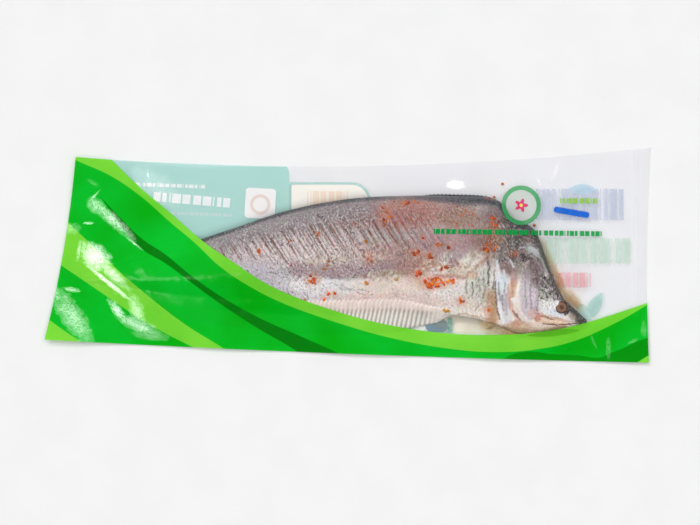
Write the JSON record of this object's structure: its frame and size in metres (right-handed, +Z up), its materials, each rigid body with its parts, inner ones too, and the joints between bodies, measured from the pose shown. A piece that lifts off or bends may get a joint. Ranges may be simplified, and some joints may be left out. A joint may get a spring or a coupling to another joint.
{
  "type": "stuffed featherback fish in a sealed pouch",
  "caption": "Whole flat-sided fish, boned and restuffed, vacuum sealed in a wide flat clear pouch with a green printed corner, lying on its back film.",
  "frame": {"origin": "under the middle of the pouch, on the surface that it lies on", "axes": "+X along the pouch towards the fish's head, +Y across it towards the fish's back, +Z up"},
  "size_m": [0.505, 0.1792, 0.029],
  "materials": {
    "clear_film": "clear vacuum pouch film, glossy, crinkled round the food",
    "printed_film": "glossy film printed in deep green and light green fields on the inside",
    "fish_skin": "wet fine-scaled skin, silver grey, scored, paler along the belly",
    "fish_eye": "dull brown eye with a dark rim",
    "chili_flakes": "crushed dried chili and pale seeds, wet",
    "marinade": "thin oily juice between the films"
  },
  "bodies": {
    "root": {"sealed_fish_pack": "clear_film"}
  },
  "joints": []
}
